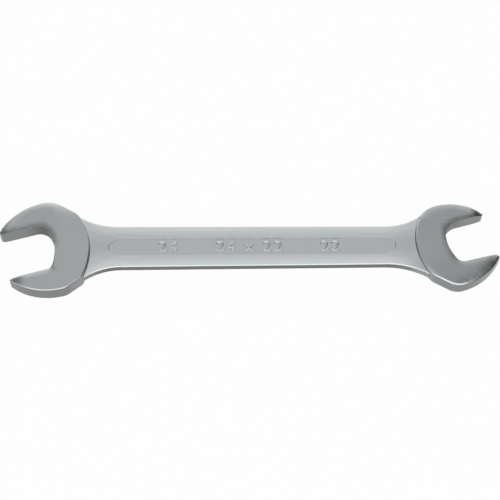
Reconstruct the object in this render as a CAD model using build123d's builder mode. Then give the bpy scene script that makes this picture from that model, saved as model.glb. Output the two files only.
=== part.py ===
"""Double open end wrench, drop forged in one piece and chrome plated, 22 x 24 mm.

X runs along the shank towards the small head, Y across it, and Z up through its thickness.
The wrench lies flat: Z = 0 is the underside of the large head, and the origin is under its middle.
"""
from build123d import *
from collections import namedtuple
import math
import os

# Whole wrench
overall_length = 250.0
jaw_angle = 15.0

# Large head. Its leading arm forms the end of the wrench, and its trailing arm is the other one.
# A reach is measured from the jaw's middle line to the widest point of that arm, where a shoulder
# curves back to a straight flank. A depth is measured from the head's centre towards the shank, and
# an offset is how far that centre lies to +Y of the origin.
large_jaw = 24.0
large_thickness = 9.8
large_offset = 0.45
large_root_depth = 1.3
large_root_shift = -1.5
large_back_depth = 18.7
large_back_shift = -3.5
large_leading_reach = 24.7
large_leading_radius = 32.6
large_leading_shoulder = 13.8
large_leading_flank = 9.1
large_leading_root_corner = 6.8
large_trailing_reach = 25.0
large_trailing_radius = 32.0
large_trailing_shoulder = 7.2
large_trailing_flank = 8.2
large_trailing_root_corner = 3.1

# Small head
small_jaw = 22.0
small_thickness = 9.0
small_offset = -0.05
small_root_depth = 0.75
small_root_shift = 0.6
small_back_depth = 16.3
small_back_shift = 0.7
small_leading_reach = 23.4
small_leading_radius = 29.8
small_leading_shoulder = 9.3
small_leading_flank = 9.5
small_leading_root_corner = 5.4
small_trailing_reach = 22.6
small_trailing_radius = 29.0
small_trailing_shoulder = 13.0
small_trailing_flank = 3.85
small_trailing_root_corner = 8.0

# Both heads: the root's radius as a share of the jaw, how far each shoulder turns, and the roundings
root_radius_share = 0.91
large_leading_shoulder_angle = 45.9
large_trailing_shoulder_angle = 22.5
small_leading_shoulder_angle = 44.9
small_trailing_shoulder_angle = 29.9
leading_back_corner = 8.0
trailing_back_corner = 2.5
leading_nose_radius = 1.7
trailing_nose_radius = 1.3
rim_radius = 1.2

# Shank: a lens section, thick in the middle and thin at its edges
shank_offset = 0.45
shank_large_width = 22.7
shank_small_width = 21.4
shank_thickness = 6.2
shank_edge_thickness = 4.2
shank_edge_radius = 0.8

# Necks: where each one starts to widen and where it ends, as depths from the head's centre
large_neck_start = 31.4
large_neck_end = 3.4
small_neck_start = 33.1
small_neck_end = 5.1
neck_end_width = 48.0
neck_inset = 0.15
large_leading_flare = 37.2
large_trailing_flare = 32.0
small_leading_flare = 42.0
small_trailing_flare = 30.6
# How far along a neck each lens section stands, and how much of its widening it has by then
neck_crown_shares = (
    (-0.5, 0.0), (-0.25, 0.0), (0.0, 0.01), (0.25, 0.1), (0.5, 0.3), (0.75, 0.63), (1.0, 1.0),
)

# Sunk panel on each face of the shank, whose ends are also depths from the heads' centres
large_panel_depth = 28.5
small_panel_depth = 26.9
panel_offset = -0.3
panel_width = 8.6
panel_end_width = 3.2
panel_end_length = 4.6
panel_floor_thickness = 5.4
panel_draft = 30.0

overrun = 3.0
mid_height = large_thickness / 2

Arm = namedtuple("Arm", "reach radius shoulder shoulder_angle flank back_corner nose_radius root_corner flare")
Head = namedtuple("Head", "plane jaw thickness root_depth root_shift back_depth back_shift arms")

large_leading_arm = Arm(
    large_leading_reach, large_leading_radius, large_leading_shoulder, large_leading_shoulder_angle,
    large_leading_flank, leading_back_corner, leading_nose_radius, large_leading_root_corner,
    large_leading_flare,
)
large_trailing_arm = Arm(
    large_trailing_reach, large_trailing_radius, large_trailing_shoulder, large_trailing_shoulder_angle,
    large_trailing_flank, trailing_back_corner, trailing_nose_radius, large_trailing_root_corner,
    large_trailing_flare,
)
small_leading_arm = Arm(
    small_leading_reach, small_leading_radius, small_leading_shoulder, small_leading_shoulder_angle,
    small_leading_flank, leading_back_corner, leading_nose_radius, small_leading_root_corner,
    small_leading_flare,
)
small_trailing_arm = Arm(
    small_trailing_reach, small_trailing_radius, small_trailing_shoulder, small_trailing_shoulder_angle,
    small_trailing_flank, trailing_back_corner, trailing_nose_radius, small_trailing_root_corner,
    small_trailing_flare,
)


def head_centre(jaw, leading_arm):
    """How far along the wrench a head's centre lies, so that its leading arm forms the end."""
    across = jaw / 2 + leading_nose_radius
    to_nose = leading_arm.radius - leading_nose_radius
    along = math.sqrt(to_nose**2 - (across + leading_arm.radius - leading_arm.reach) ** 2)
    angle = math.radians(jaw_angle)
    return overall_length / 2 - along * math.cos(angle) - across * math.sin(angle) - leading_nose_radius


def head_plane(centre, offset, heading):
    """The plane halfway up the wrench whose own X runs out of one jaw."""
    angle = math.radians(heading)
    opening = (math.cos(angle), math.sin(angle), 0)
    return Plane(origin=(centre, offset, mid_height), x_dir=opening, z_dir=(0, 0, 1))


large_centre = head_centre(large_jaw, large_leading_arm)
small_centre = head_centre(small_jaw, small_leading_arm)
large_head = Head(
    head_plane(-large_centre, large_offset, 180 + jaw_angle), large_jaw, large_thickness, large_root_depth,
    large_root_shift, large_back_depth, large_back_shift, (large_leading_arm, large_trailing_arm),
)
small_head = Head(
    head_plane(small_centre, small_offset, jaw_angle), small_jaw, small_thickness, small_root_depth,
    small_root_shift, small_back_depth, small_back_shift, (small_leading_arm, small_trailing_arm),
)


def shoulder_point(arm, side, angle, inset=0):
    """A point on the arc that runs back from the widest point of an arm, by the angle it has turned."""
    radius = arm.shoulder - inset
    return Vector(-radius * math.sin(angle), side * (arm.reach - inset - radius * (1 - math.cos(angle))))


def flank_heading(arm, side):
    """The direction of an arm's flank, from the shank outwards."""
    angle = math.radians(arm.shoulder_angle)
    return Vector(math.cos(angle), side * math.sin(angle))


def head_outline(head):
    """Draw the C of one head, with its jaw open towards +X, and return its corners with their roundings."""
    root_radius = root_radius_share * head.jaw
    backs = []
    roots = []
    roundings = []
    for side, arm in zip((-1, 1), head.arms):
        edge = side * head.jaw / 2
        tip = (math.sqrt(arm.radius**2 - (head.jaw / 2 + arm.radius - arm.reach) ** 2), edge)
        widest = (0, side * arm.reach)
        half_turn = math.asin(tip[0] / arm.radius) / 2
        drop = arm.radius * (1 - math.cos(half_turn))
        ThreePointArc(tip, (arm.radius * math.sin(half_turn), side * (arm.reach - drop)), widest)
        angle = math.radians(arm.shoulder_angle)
        shoulder_end = shoulder_point(arm, side, angle)
        ThreePointArc(widest, shoulder_point(arm, side, angle / 2), shoulder_end)
        back = shoulder_end - flank_heading(arm, side) * arm.flank
        Line(shoulder_end, back)
        rise = edge - head.root_shift
        root = (root_radius - head.root_depth - math.sqrt(root_radius**2 - rise**2), edge)
        Line(tip, root)
        backs.append(back)
        roots.append(root)
        roundings += [(tip, arm.nose_radius), (back, arm.back_corner), (root, arm.root_corner)]
    ThreePointArc(backs[0], (-head.back_depth, head.back_shift), backs[1])
    ThreePointArc(roots[0], (-head.root_depth, head.root_shift), roots[1])
    return roundings


def head_plate(head):
    """One forged head: as thick as the head all over, with every rim rounded."""
    with BuildPart() as plate:
        with BuildSketch(head.plane) as face:
            with BuildLine():
                roundings = head_outline(head)
            make_face()
            for corner, radius in roundings:
                fillet(face.vertices().sort_by_distance(corner)[0], radius)
        extrude(amount=head.thickness / 2, both=True)
        fillet(plate.faces().filter_by(Axis.Z).edges(), rim_radius)
    return plate.part


large_plate = head_plate(large_head)
small_plate = head_plate(small_head)

large_neck_x = large_neck_start - large_centre
small_neck_x = small_centre - small_neck_start


def shank_width(x):
    """The shank tapers evenly from the large neck to the small one."""
    share = (x - large_neck_x) / (small_neck_x - large_neck_x)
    return shank_large_width + share * (shank_small_width - shank_large_width)


def lens_section(x, width):
    """A lens across the wrench, cut a little outside the width at which it has the shank's edge thickness."""
    middle = shank_thickness / 2
    crown = middle - shank_edge_thickness / 2
    radius = (width**2 / 4 + crown**2) / (2 * crown)
    half = width / 2 + overrun
    edge = middle - radius + math.sqrt(radius**2 - half**2)
    with BuildSketch(Plane(origin=(x, shank_offset, mid_height), x_dir=(0, 1, 0), z_dir=(1, 0, 0))) as section:
        with BuildLine():
            ThreePointArc((-half, edge), (0, middle), (half, edge))
            Line((half, edge), (half, -edge))
            ThreePointArc((half, -edge), (0, -middle), (-half, -edge))
            Line((-half, -edge), (-half, edge))
        make_face()
    return section.sketch


def neck_sections(start, end):
    """Lens sections from where the shank ends to inside a head, each wider than the last."""
    sections = []
    for along, widening in neck_crown_shares:
        x = start + along * (end - start)
        sections.append(lens_section(x, shank_width(x) + widening * (neck_end_width - shank_width(x))))
    return sections


def neck_edge(head, side, arm, start, heading):
    """Draw one edge of a neck: a flare from the shank's edge to just inside the head's flank, then a line
    that hides inside the head. Returns where the flare leaves the shank's edge, and where the line ends.
    """
    shoulder_end = shoulder_point(arm, side, math.radians(arm.shoulder_angle), neck_inset)
    flank_end = head.plane.from_local_coords(shoulder_end)
    flank = head.plane.from_local_coords(shoulder_end + flank_heading(arm, side)) - flank_end
    to_flank = (flank_end - start).cross(flank).Z / heading.cross(flank).Z
    turn = math.atan2(heading.cross(flank).Z, heading.dot(flank))
    run = arm.flare * math.tan(abs(turn) / 2)
    flare_start = start + heading * to_flank - heading.normalized() * run
    flare = JernArc((flare_start.X, flare_start.Y), (heading.X, heading.Y), arm.flare, math.degrees(turn))
    hidden = head.plane.from_local_coords(Vector(-head.back_depth / 2, side * arm.reach / 2))
    Line(flare @ 1, (hidden.X, hidden.Y))
    return flare @ 0, (hidden.X, hidden.Y)


def shank_outline():
    """Draw the shank and its necks in plan, closed across the inside of each head."""
    large_ends = []
    small_ends = []
    for side, large_arm, small_arm in (
        (-1, large_trailing_arm, small_leading_arm),
        (1, large_leading_arm, small_trailing_arm),
    ):
        large_end = Vector(large_neck_x, shank_offset + side * shank_large_width / 2, mid_height)
        small_end = Vector(small_neck_x, shank_offset + side * shank_small_width / 2, mid_height)
        edge = small_end - large_end
        large_edge = neck_edge(large_head, -side, large_arm, large_end, -edge)
        small_edge = neck_edge(small_head, side, small_arm, small_end, edge)
        Line(large_edge[0], small_edge[0])
        large_ends.append(large_edge[1])
        small_ends.append(small_edge[1])
    Line(*large_ends)
    Line(*small_ends)


def panel_outline(face):
    """Draw the sunk panel of one face: a long strip whose ends are cut off at their corners."""
    large_end = large_panel_depth - large_centre
    small_end = small_centre - small_panel_depth
    corners = []
    for side in (1, -1):
        strip = [
            (large_end, panel_end_width / 2), (large_end + panel_end_length, panel_width / 2),
            (small_end - panel_end_length, panel_width / 2), (small_end, panel_end_width / 2),
        ]
        corners += [(x, face * panel_offset + side * y) for x, y in (strip if side > 0 else reversed(strip))]
    Polyline(*corners, close=True)


def is_long_edge(edge):
    """Whether an edge runs along a side of the shank or a neck, outside both heads."""
    middle = edge.center()
    hidden = large_plate.is_inside(middle) or small_plate.is_inside(middle)
    return abs(middle.Y) > shank_small_width / 4 and middle.Z != mid_height and not hidden


with BuildPart() as wrench:
    large_neck = neck_sections(large_neck_x, large_neck_end - large_centre)
    small_neck = neck_sections(small_neck_x, small_centre - small_neck_end)
    loft([large_neck[0], small_neck[0]])
    loft(large_neck)
    loft(small_neck)
    with BuildSketch(Plane.XY.offset(mid_height)):
        with BuildLine():
            shank_outline()
        make_face()
    extrude(amount=shank_thickness, both=True, mode=Mode.INTERSECT)
    long_edges = wrench.edges().filter_by(is_long_edge)
    fillet(long_edges, shank_edge_radius)
    for face in (1, -1):
        floor = mid_height + face * panel_floor_thickness / 2
        with BuildSketch(Plane(origin=(0, 0, floor), x_dir=(1, 0, 0), z_dir=(0, 0, face))):
            with BuildLine():
                panel_outline(face)
            make_face()
        extrude(amount=shank_thickness, taper=-panel_draft, mode=Mode.SUBTRACT)
    add(large_plate)
    add(small_plate)

wrench.part.label = "wrench"
os.makedirs("parts", exist_ok=True)
export_step(wrench.part, "parts/wrench.step")
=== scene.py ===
"""Double open end wrench, satin chrome over one steel forging, lying on a pale studio floor."""

import math
from collections import namedtuple

import bmesh
import bpy
import numpy as np
from mathutils import Matrix, Quaternion, Vector


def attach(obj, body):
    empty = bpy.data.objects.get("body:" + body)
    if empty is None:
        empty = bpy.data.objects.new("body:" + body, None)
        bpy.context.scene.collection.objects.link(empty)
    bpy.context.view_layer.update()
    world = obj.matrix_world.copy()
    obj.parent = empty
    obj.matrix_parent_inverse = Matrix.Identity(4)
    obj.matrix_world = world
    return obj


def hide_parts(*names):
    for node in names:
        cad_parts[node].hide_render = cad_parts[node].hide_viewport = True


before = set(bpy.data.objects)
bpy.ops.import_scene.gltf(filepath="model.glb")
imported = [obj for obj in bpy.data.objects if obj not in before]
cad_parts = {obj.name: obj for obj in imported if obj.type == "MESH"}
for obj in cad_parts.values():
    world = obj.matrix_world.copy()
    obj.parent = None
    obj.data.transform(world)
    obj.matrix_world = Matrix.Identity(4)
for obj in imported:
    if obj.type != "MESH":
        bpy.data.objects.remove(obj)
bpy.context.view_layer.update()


# The forging. One steel bar, drop forged with both heads, trimmed, broached at the jaws, tumbled
# until its rims are soft, and plated in satin chrome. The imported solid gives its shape. Its heads
# also get what the wheel did: faces that fall away along their outer arcs, blunt tips, crisp jaws.
class Value:
    """A socket of a shader tree that can be used in sums."""

    def __init__(self, tree, socket=None):
        self.tree = tree
        self.socket = socket

    def node(self, kind, settings=(), **inputs):
        """Add one node: its settings first, then the values or links of its sockets.

        A socket goes by its name, with _ for each blank, or by its number, as _0 for the first."""
        added = self.tree.nodes.new(kind)
        for name, value in dict(settings).items():
            setattr(added, name, value)
        for name, value in inputs.items():
            key = int(name[1:]) if name[1:].isdigit() else name.replace("_", " ")
            if isinstance(value, Value):
                self.tree.links.new(value.socket, added.inputs[key])
            else:
                added.inputs[key].default_value = value
        return added

    def out(self, kind, settings=(), output=0, **inputs):
        """One output of a new node."""
        return Value(self.tree, self.node(kind, settings, **inputs).outputs[output])

    def maths(self, operation, first, second=0.0):
        return self.out("ShaderNodeMath", {"operation": operation}, _0=first, _1=second)

    def __add__(self, other):
        return self.maths("ADD", self, other)

    __radd__ = __add__

    def __sub__(self, other):
        return self.maths("SUBTRACT", self, other)

    def __rsub__(self, other):
        return self.maths("SUBTRACT", other, self)

    def __mul__(self, other):
        return self.maths("MULTIPLY", self, other)

    __rmul__ = __mul__

    def __abs__(self):
        return self.maths("ABSOLUTE", self)

    def largest(self, other):
        return self.maths("MAXIMUM", self, other)

    def step(self, low, high):
        """0 at low and 1 at high, smooth between them. Low may be the larger of the two."""
        return self.out("ShaderNodeMapRange", {"interpolation_type": "SMOOTHSTEP"},
                        Value=self, From_Min=low, From_Max=high)

    def parts(self):
        """The three numbers of a vector."""
        split = self.node("ShaderNodeSeparateXYZ", Vector=self)
        return [Value(self.tree, output) for output in split.outputs]

    def noise(self, size, detail=2.0):
        """Soft patches of about this size in metres, from -0.5 to 0.5."""
        return self.out("ShaderNodeTexNoise", Vector=self, Scale=1 / size, Detail=detail) - 0.5

    def mix(self, low, high):
        """A colour from low to high, by this value."""
        return self.out("ShaderNodeMix", {"data_type": "RGBA"}, 2, _0=self, _6=low, _7=high)


def empty_tree(holder):
    """Clear the nodes of a material or world, and give a Value to start its sums from."""
    holder.use_nodes = True
    holder.node_tree.nodes.clear()
    return Value(holder.node_tree)


def outside_circle(u, w, radius, centre_u=0.0, centre_w=0.0):
    """How far a point of a head's plan lies outside a circle."""
    offset = u.out("ShaderNodeCombineXYZ", X=u - centre_u, Y=w - centre_w)
    length = u.out("ShaderNodeVectorMath", {"operation": "LENGTH"}, "Value", _0=offset)
    return length - radius


# All sizes are in metres. A head's plan has axes of its own: u out of the jaw and w across it.
MIDDLE = 0.0049  # height of the wrench's middle plane above the floor
CROWN = 0.0031  # how far the shank's crown is from the middle plane
RIM = 0.0012  # radius of the rounding along a head's edges
HEAD_REACH = 0.04  # every point of a head is nearer than this to its centre
ROOT_ROUNDNESS = 0.91  # radius of the arc at the jaw's root, as a share of the jaw's width
SHOULDER = 0.0215  # radius of the arc that the shoulders behind the arms lie on
PANEL_Y = -0.0003  # where the panel's middle line runs
PANEL_HALF_WIDTH = 0.0037  # of the panel's floor, inside its sloping walls
PANEL_HALF_LENGTH = 0.058
Head = namedtuple("Head", (
    "centre",  # where u and w start, in x and y
    "heading",  # degrees from +X to +u
    "jaw",  # width between the flats
    "half_thickness",
    "root_depth",  # how far the arc of the jaw's root reaches to -u
    "root_shift",  # and where its centre lies in w
    "back",  # arc of the rear edge: radius, centre in u, and in w towards the upper arm
    "upper",  # sign of w on the upper arm, whose jaw face looks towards -Y
    "arm_rounding",  # share of RIM that stays along the arms
    "step_rounding",  # and along the step at the neck, at its upper end and more at its lower
    "step_glint",  # strength of the painted glint along the step, and the w where it starts
    "back_shine",  # how much painted highlight the rim and the wall behind the lower arm get
    "arms",  # the one on the -w side first
))
Arm = namedtuple("Arm", (
    "reach",  # how far the outer arc reaches from the jaw's middle line
    "radius",  # of that arc
    "tip",  # where the arm's face ends in u
    "tip_run",  # length over which the face drops there
    "tip_drop",  # and how deep
    "shine",  # how much lighter the arm's outside is painted, a painted highlight; below 0, painted shade
))
heads = (
    Head(
        centre=(-0.0984107, 0.00045), heading=195.0, jaw=0.024, half_thickness=0.0049,
        root_depth=0.0013, root_shift=-0.0015, back=(0.03207, 0.01324, 0.00072), upper=-1,
        arm_rounding=0.62, step_rounding=(0.40, 0.32), step_glint=(0.36, 0.0), back_shine=0.0,
        arms=(Arm(0.0247, 0.0326, 0.0253, tip_run=0.0070, tip_drop=0.0011, shine=0.04),
              Arm(0.0250, 0.0320, 0.0257, tip_run=0.0090, tip_drop=0.0020, shine=-0.01))),
    Head(
        centre=(0.1001046, -0.00005), heading=15.0, jaw=0.022, half_thickness=0.0045,
        root_depth=0.00075, root_shift=0.0006, back=(0.03036, 0.01399, -0.00017), upper=1,
        arm_rounding=0.95, step_rounding=(0.32, 0.04), step_glint=(0.24, -0.036), back_shine=0.18,
        arms=(Arm(0.0234, 0.0298, 0.0240, tip_run=0.0160, tip_drop=0.0013, shine=-0.2),
              Arm(0.0226, 0.0290, 0.0231, tip_run=0.0075, tip_drop=0.0022, shine=0.03))),
)

# The plating. Each mask is 1 on what it is named for and fades out round it.
satin_chrome = bpy.data.materials.new("satin_chrome")
chrome = empty_tree(satin_chrome)
place = chrome.out("ShaderNodeTexCoord", output="Object")
x, y, z = place.parts()
_, tilt, rise = chrome.out("ShaderNodeTexCoord", output="Normal").parts()
flatness = abs(rise)
height = abs(z - MIDDLE)
from_panel_line = abs(y - PANEL_Y)
off_panel_floor = from_panel_line.step(PANEL_HALF_WIDTH, 0.004)
off_panel_floor = off_panel_floor.largest(abs(x).step(PANEL_HALF_LENGTH, 0.06))
panel_walls = abs(x).step(0.074, 0.072) * from_panel_line.step(0.006, 0.0056) * off_panel_floor
on_heads = height.step(CROWN, 0.0036)
on_walls = flatness.step(0.58, 0.32) * (1 - panel_walls)
in_panel = height.step(0.00292, 0.0028) * from_panel_line.step(0.0046, 0.0042) * (1 - on_walls)
on_marks = height.step(0.0029, 0.00297) * from_panel_line.step(PANEL_HALF_WIDTH, 0.0035)
on_marks = on_marks * abs(x).step(0.062, 0.06)
shank_side = on_walls * abs(x).step(0.084, 0.078)
neck_side = abs(x).step(0.070, 0.078) * abs(x - 0.002).step(0.092, 0.088)
blotches = place.noise(0.011, 3.0)
grain = place.noise(0.0003)
shade_mottle = place.noise(0.0024)

# The tone is the share of the light that comes back. The heads, which the wheel ground, are
# painted darker than the shank as painted shade, and the smaller one the darkest. Slopes on the
# larger head that look to +Y get a painted highlight, and the shank's and the neck's lower right
# corners painted shade. Walls have a painted shade of their own.
FACE_TONE = 0.69
SHADED_WALL_TONE = 0.2
head_shade = 0.09 + 0.07 * x.step(-0.02, 0.06) + 0.02 * y.step(0.0, 0.014)
corner_shade = 0.05 * x.step(0.082, 0.098) * y.step(-0.004, -0.014)
slope_light = 0.12 * on_heads * tilt.step(0.06, 0.2) * x.step(0.02, -0.02)
neck_shade = 0.09 * (1 - on_heads) * x.step(0.076, 0.086) * y.step(-0.005, -0.011)
tone = FACE_TONE + 0.01 * in_panel - on_heads * head_shade - corner_shade
tone = tone + 0.035 * on_marks + slope_light + 0.03 * blotches + 0.02 * grain - neck_shade
# The walls' tone is a painted shade: darker still along the shank's sides, and lighter, a painted
# light, along the neck's sides.
shaded_wall_tone = SHADED_WALL_TONE + 0.01 * grain - 0.062 * shank_side + 0.055 * neck_side
broached_root = 0.0
for head in heads:
    local = chrome.out("ShaderNodeMapping", {"vector_type": "TEXTURE"}, Vector=place,
                       Location=(*head.centre, 0.0),
                       Rotation=(0.0, 0.0, math.radians(head.heading)))
    u, w, _ = local.parts()
    w = head.upper * w
    lower, upper = head.arms[::head.upper]
    near = on_heads * abs(u - 0.012).step(0.028, 0.024) * abs(w).step(0.03, 0.028)
    # Painted shade along the upper arm's jaw edge and the corner at the root, with a streaked edge.
    root_radius = ROOT_ROUNDNESS * head.jaw
    past_root = outside_circle(
        u, w, root_radius, root_radius - head.root_depth, head.upper * head.root_shift)
    past_jaw = chrome.out("ShaderNodeMath", {"operation": "SMOOTH_MAX"},
                          _0=w - head.jaw / 2, _1=past_root, _2=0.0075)
    streaks = chrome.out("ShaderNodeMapping", Vector=local, Scale=(1.0, 5.0, 5.0)).noise(0.004, 3.0)
    jaw_edge_shade = (past_jaw + 0.004 * streaks).step(0.0036, 0.0) * w.step(-0.005, 0.005)
    tone = tone - 0.27 * jaw_edge_shade * near
    # A painted highlight in a band along the upper arm's outer arc, near the tip and at the
    # shoulder.
    arm_band = outside_circle(u, w, upper.radius, 0.0, upper.reach - upper.radius)
    arm_band = 3.2 * u.step(0.006, 0.016) * arm_band.step(-0.0044, -0.0030)
    shoulder_band = outside_circle(u, w, SHOULDER).step(-0.0032, -0.002)
    shoulder_band = 2.4 * abs(u + 0.012).step(0.007, 0.003) * shoulder_band
    band_highlight = arm_band + shoulder_band
    tone = tone + upper.shine * band_highlight * w.step(0.012, 0.016) * near
    # A painted glint along the rounded edge of the step, on the upper side.
    past_back = outside_circle(u, w, *head.back)
    glint, glint_start = head.step_glint
    step_highlight = past_back.step(-0.0012, -0.0007) * flatness.step(0.78, 0.93)
    step_highlight = glint * (step_highlight * w.step(glint_start, 0.006)) * past_back.step(-0.0001, -0.0005)
    tone = tone + step_highlight * u.step(-0.008, -0.011) * near
    # Painted shade, mottled, on the lower arm's outside, and a painted highlight on the smaller
    # head's rear rim.
    rear_rim = 1.4 * tilt.step(-0.08, -0.3) * u.step(0.004, -0.001) * w.step(-0.008, -0.012)
    rear_band = 0.6 * past_back.step(-0.0026, -0.0014) * w.step(-0.005, -0.010)
    rear_highlight = rear_rim + rear_band * u.step(-0.006, -0.009)
    outside = outside_circle(u, w, lower.radius, 0.0, lower.radius - lower.reach)
    outside = outside.step(-0.0075, -0.0012) * w.step(-0.004, -0.010) * u.step(-0.012, -0.001)
    outside_shade = outside * (0.5 + 0.5 * u.step(0.004, 0.017) + 1.6 * shade_mottle)
    tone = tone + (lower.shine * outside_shade + head.back_shine * rear_highlight) * near
    # The walls get more painted shade on the upper arm's side, the most deep in the jaw, where they
    # are also rough, and less towards the tip; on the lower arm's side a little towards its tip,
    # and painted light behind the smaller head's lower arm.
    near_walls = abs(u - 0.004).step(0.028, 0.024)
    jaw_wall = w.step(0.0, 0.006) * (0.55 - 0.65 * u.step(-0.002, 0.014))
    rear_wall = 0.1 * u.step(0.009, 0.017) - head.back_shine * u.step(0.001, -0.005)
    rear_wall = w.step(-0.004, -0.010) * rear_wall
    shaded_wall_tone = shaded_wall_tone - SHADED_WALL_TONE * (jaw_wall + rear_wall) * near_walls
    broached_root = broached_root + w.step(-0.002, 0.004) * u.step(0.007, 0.001) * near_walls
tone = tone + on_walls * (shaded_wall_tone - tone)

BLACK = (0.0, 0.0, 0.0, 1.0)
COOL_WHITE = (0.95, 1.0, 1.005, 1.0)
GRAIN_DEPTH = 0.00003
roughness = 0.2 + 0.06 * on_heads + 0.07 * on_walls + 0.05 * in_panel
roughness = roughness + 0.04 * blotches + 0.04 * grain + 0.16 * broached_root * on_walls
relief = chrome.out("ShaderNodeBump", Strength=0.3, Distance=GRAIN_DEPTH, Height=grain)
shader = chrome.out("ShaderNodeBsdfPrincipled", Base_Color=tone.mix(BLACK, COOL_WHITE),
                    Metallic=1.0, Roughness=roughness, Normal=relief)
chrome.node("ShaderNodeOutputMaterial", Surface=shader)

ON_LEVEL = 2e-6  # points this near to a level are on it, and this near to each other are one
ON_OUTLINE = 2e-5  # points this near to a head's outline, or to a cut, are on it
CUT_SPACING = 0.0013  # about, so that the cuts divide a head evenly
EDGE_FALL = 0.0006  # how far the wheel took down the edges that look to +Y
EDGE_WIDTH = 0.0042  # how wide that slope is


def head_axes(head):
    """Unit vectors out of the jaw and across it."""
    angle = math.radians(head.heading)
    along = np.array([math.cos(angle), math.sin(angle)])
    return along, np.array([-along[1], along[0]])


def head_plan(points, head):
    """The points in plan, from the head's centre, and which of them belong to the head."""
    flat = points[:, :2] - head.centre
    return flat, np.hypot(*flat.T) < HEAD_REACH


def ease(value, low, high):
    """0 at low and 1 at high, smooth between them."""
    share = np.clip((value - low) / (high - low), 0.0, 1.0)
    return share * share * (3 - 2 * share)


def nearest_on_ring(points, ring):
    """For each point in plan, the nearest point of a head's outline and how far off it is."""
    starts, runs = ring[:, 0], ring[:, 1] - ring[:, 0]
    shares = ((points[:, None] - starts) * runs).sum(2) / (runs**2).sum(1)
    nearest = starts + np.clip(shares, 0, 1)[..., None] * runs
    gaps = np.linalg.norm(points[:, None] - nearest, axis=2)
    best = gaps.argmin(1)
    rows = np.arange(len(points))
    return nearest[rows, best], gaps[rows, best]


def tighten_rims(points, ring, head):
    """Draw the rounding of the jaw's edges and of the step at the neck in to their corners."""
    along, across = head_axes(head)
    flat, on_head = head_plan(points, head)
    above = np.abs(points[:, 2] - MIDDLE)
    chosen = np.flatnonzero(on_head & (above > head.half_thickness - RIM + ON_LEVEL))
    corner, gaps = nearest_on_ring(flat[chosen], ring)
    near = gaps < RIM + ON_OUTLINE
    corner, chosen = corner[near], chosen[near]
    outwards, sideways = corner @ along, corner @ across
    downwards = -sideways * head.upper
    half_jaw = head.jaw / 2
    off_jaw = np.maximum(ease(np.abs(sideways), half_jaw + 1e-4, half_jaw + 0.0022),
                         ease(-outwards, 0.004, 0.007))
    step_upper, step_added = head.step_rounding
    step = step_upper + step_added * ease(downwards, 0.003, 0.011)
    rim = head.arm_rounding + (step - head.arm_rounding) * ease(-outwards, 0.008, 0.013)
    jaw_edge = 0.12 + 0.6 * ease(downwards, 0.006, 0.010)
    kept = (jaw_edge + (rim - jaw_edge) * off_jaw)[:, None]
    underneath = points[chosen, 2:] < MIDDLE
    kept = np.where(underneath, 0.75 + 0.25 * kept, kept)
    face = np.sign(points[chosen, 2] - MIDDLE) * head.half_thickness + MIDDLE
    corners = np.column_stack([corner + head.centre, face])
    points[chosen] = corners + kept * (points[chosen] - corners)


def wear_head(points, normals, ring, head):
    """Thin a head towards its tips and towards those of its edges that look to +Y."""
    along, across = head_axes(head)
    flat, on_head = head_plan(points, head)
    above = np.abs(points[:, 2] - MIDDLE)
    u, w = flat @ along, flat @ across
    chosen = np.flatnonzero(on_head & ((u > -0.008) | (above > CROWN)))
    nearest, gaps = nearest_on_ring(flat[chosen], ring)
    outwards = np.where(gaps[:, None] > ON_OUTLINE, nearest - flat[chosen], normals[chosen, :2])
    facing = outwards[:, 1] / np.maximum(np.linalg.norm(outwards, axis=1), 1e-9)
    u, w, above = u[chosen], w[chosen], above[chosen]
    on_jaw = ease(head.jaw / 2 + 0.006 - np.abs(w), 0.0, 0.003) * ease(u, -0.004, 0.0)
    slope = (EDGE_FALL - 0.00005 * on_jaw) * np.clip(1 - gaps / EDGE_WIDTH, 0, 1) ** 2
    slope = slope * ease(facing, 0.1, 0.75)
    first, second = head.arms
    tip = np.where(w < 0, first.tip, second.tip)
    run = np.where(w < 0, first.tip_run, second.tip_run)
    drop = np.where(w < 0, first.tip_drop, second.tip_drop)
    blunt = drop * np.clip((u - tip) / run + 1, 0, None) ** 2
    on_pad = np.maximum(ease(u, -0.008, -0.004), ease(above, CROWN, 0.0038))
    share = (slope + blunt) / head.half_thickness * on_pad
    points[chosen, 2] = MIDDLE + (points[chosen, 2] - MIDDLE) * (1 - share)


def put_points(form, points):
    for vert, point in zip(form.verts, points):
        vert.co = point


def new_piece(name, form, hard_angle):
    """Make an object in satin chrome, smooth but where faces meet at more than hard_angle."""
    for face in form.faces:
        face.smooth = True
    for edge in form.edges:
        met = len(edge.link_faces) == 2
        edge.smooth = met and edge.calc_face_angle() < math.radians(hard_angle)
    mesh = bpy.data.meshes.new(name)
    form.to_mesh(mesh)
    form.free()
    mesh.materials.append(satin_chrome)
    piece = bpy.data.objects.new(name, mesh)
    bpy.context.scene.collection.objects.link(piece)
    return piece


solid = bmesh.new()
solid.from_mesh(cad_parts["wrench"].data)
bmesh.ops.remove_doubles(solid, verts=solid.verts, dist=ON_LEVEL)
bmesh.ops.dissolve_limit(solid, angle_limit=0.0005, verts=solid.verts, edges=solid.edges)
solid.verts.index_update()
points = np.array([v.co for v in solid.verts])
ends = np.array([[v.index for v in edge.verts] for edge in solid.edges])
rings = []
for head in heads:
    flat, on_head = head_plan(points, head)
    wall_top = np.abs(points[:, 2] - MIDDLE - (head.half_thickness - RIM)) < ON_LEVEL
    rings.append(flat[ends[(on_head & wall_top)[ends].all(1)]])
    tighten_rims(points, rings[-1], head)
put_points(solid, points)
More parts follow.
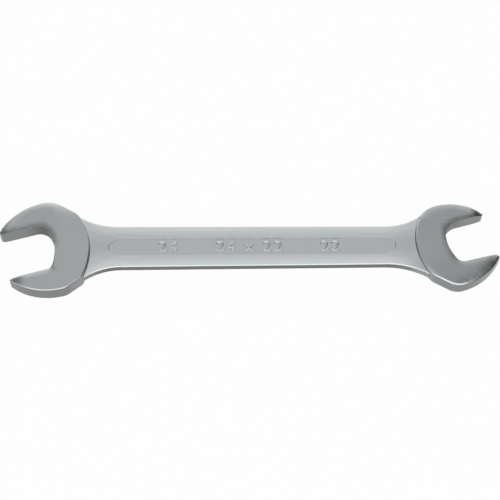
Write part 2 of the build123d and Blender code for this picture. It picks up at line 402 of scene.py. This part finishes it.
# A grid of cuts gives the flat faces the points that the wheel's soft slopes need.
for head in heads:
    centre = Vector(head.centre)
    faces = [f for f in solid.faces if (f.calc_center_median().to_2d() - centre).length < 0.045]
    verts, edges = {v for f in faces for v in f.verts}, {e for f in faces for e in f.edges}
    geometry = list(verts) + list(edges) + faces
    for axis, low, high in zip(head_axes(head), (-0.006, -0.026), (0.027, 0.026)):
        for distance in np.linspace(low, high, round((high - low) / CUT_SPACING) + 1):
            at = np.array(head.centre) + axis * distance
            cut = bmesh.ops.bisect_plane(solid, geom=geometry, dist=ON_OUTLINE,
                                         plane_co=(*at, 0), plane_no=(*axis, 0))
            geometry = cut["geom"]
solid.normal_update()
points = np.array([v.co for v in solid.verts])
normals = np.array([v.normal for v in solid.verts])
for head, ring in zip(heads, rings):
    wear_head(points, normals, ring, head)
put_points(solid, points)
bmesh.ops.triangulate(solid, faces=[f for f in solid.faces if len(f.verts) > 4])
forging = new_piece("forging", solid, 30)
weighting = forging.modifiers.new("weighting", "WEIGHTED_NORMAL")
weighting.keep_sharp = True
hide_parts("wrench")
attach(forging, "root")


# The size marks. Plain raised numerals that the die leaves in the panel of each face: beside each
# jaw its opening in millimetres, and between them the pair. They end just below the shank's crown.
NUMERAL_HEIGHT = 0.0056
FONT_SIZE = NUMERAL_HEIGHT * 1.43  # the font's numerals are 0.7 of its size high
NUMERAL_LEVEL = 0.0026  # from the middle plane to the middle of their thickness
STRETCH = 1.2
numerals = bmesh.new()
for text, distance in (("24", -0.0405), ("24 x 22", 0.0), ("22", 0.0405)):
    for face in (1, -1):
        curve = bpy.data.curves.new("numeral", "FONT")
        curve.body = text
        curve.size = FONT_SIZE
        curve.align_x = "CENTER"
        curve.align_y = "CENTER"
        curve.space_character = 1.15
        curve.extrude = 0.0001
        curve.bevel_depth = 0.0003
        curve.bevel_resolution = 2
        curve.offset = -0.00018
        letters = bpy.data.objects.new("numeral", curve)
        bpy.context.scene.collection.objects.link(letters)
        bpy.context.view_layer.update()
        evaluated = letters.evaluated_get(bpy.context.evaluated_depsgraph_get())
        shape = bpy.data.meshes.new_from_object(evaluated)
        on_face = Matrix.Translation((distance, PANEL_Y, MIDDLE + face * NUMERAL_LEVEL))
        turn = Matrix.Rotation(math.pi, 4, "X") if face < 0 else Matrix.Identity(4)
        shape.transform(on_face @ turn @ Matrix.Scale(STRETCH, 4, (1, 0, 0)))
        numerals.from_mesh(shape)
        bpy.data.objects.remove(letters)
bmesh.ops.remove_doubles(numerals, verts=numerals.verts, dist=0.000001)
bmesh.ops.recalc_face_normals(numerals, faces=numerals.faces)
size_marks = new_piece("size_marks", numerals, 40)
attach(size_marks, "root")


# The studio. A white sheet under the wrench, inside a tent whose roof is brightest and whose two
# ends are open to a darker room. The metal sees the white sheet too, and the sheet keeps a shadow.
WHITE = (1.0, 1.0, 1.0, 1.0)
SHADOW = 0.03  # how much of the sheet's own shading is left to show
SHEET_LEVEL = -2e-5
SHEET_REACH = 3.0
paper = bpy.data.materials.new("paper")
sheet = empty_tree(paper)
by_camera, in_metal, through_glass = (
    sheet.out("ShaderNodeLightPath", output=f"Is {ray} Ray")
    for ray in ("Camera", "Glossy", "Transmission"))
seen = by_camera.largest(in_metal).largest(through_glass)
matt = sheet.out("ShaderNodeBsdfDiffuse", Color=(0.9, 0.9, 0.9, 1.0))
white = sheet.out("ShaderNodeEmission", Color=WHITE, Strength=1.0)
shown = sheet.out("ShaderNodeMixShader", _0=(1 - SHADOW) * seen, _1=matt, _2=white)
sheet.node("ShaderNodeOutputMaterial", Surface=shown)
corners = [(SHEET_REACH * right, SHEET_REACH * back, SHEET_LEVEL)
           for right, back in ((-1, -1), (1, -1), (1, 1), (-1, 1))]
floor_mesh = bpy.data.meshes.new("floor")
floor_mesh.from_pydata(corners, [], [(0, 1, 2, 3)])
floor_mesh.materials.append(paper)
floor = bpy.data.objects.new("floor", floor_mesh)
bpy.context.scene.collection.objects.link(floor)

world = bpy.data.worlds.new("tent")
bpy.context.scene.world = world
tent = empty_tree(world)
right, back, _ = tent.out("ShaderNodeTexCoord", output="Generated").parts()
roof = back.step(0.42, -0.05) * back.step(-0.97, -0.85)
roof_front = back.step(-0.25, -0.5) * roof
wall = back.step(0.46, 0.85) * right.step(0.55, 0.3)
front = back.step(0.3, -0.1)
front_left = back.step(0.25, 0.05) * back.step(-0.4, -0.2) * right.step(0.0, -0.3)
rear = back.step(0.72, 0.88)
ends_dark = (abs(right) - 0.2 * front - 0.4 * front_left - 0.3 * rear).step(0.11, 0.50)
ends_dark = ends_dark * (0.8 - 0.1 * right.step(0.1, -0.1))
light = (0.71 + 0.6 * roof + 0.6 * roof_front + 0.55 * wall) * (1 - ends_dark)
lit = tent.out("ShaderNodeBackground", Strength=light)
plain = tent.out("ShaderNodeBackground", Color=WHITE, Strength=1.0)
by_camera = tent.out("ShaderNodeLightPath", output="Is Camera Ray")
around = tent.out("ShaderNodeMixShader", _0=by_camera, _1=lit, _2=plain)
tent.node("ShaderNodeOutputWorld", Surface=around)


# The camera. It looks down steeply from the front with a long lens, level to a third of a degree.
eye = Vector((-0.0039, -0.36726, 0.75221))
aim = Vector((0.000503, -0.000565, 0.004407))
roll = math.radians(0.2738)
view = (aim - eye).to_track_quat("-Z", "Y") @ Quaternion((0, 0, 1), roll)
camera_data = bpy.data.cameras.new("camera")
camera_data.sensor_width = 36.0
camera_data.lens = 119.55
camera = bpy.data.objects.new("camera", camera_data)
camera.matrix_world = Matrix.LocRotScale(eye, view, None)
bpy.context.scene.collection.objects.link(camera)
bpy.context.scene.camera = camera
bpy.context.scene.view_settings.view_transform = "Standard"

bpy.context.view_layer.update()
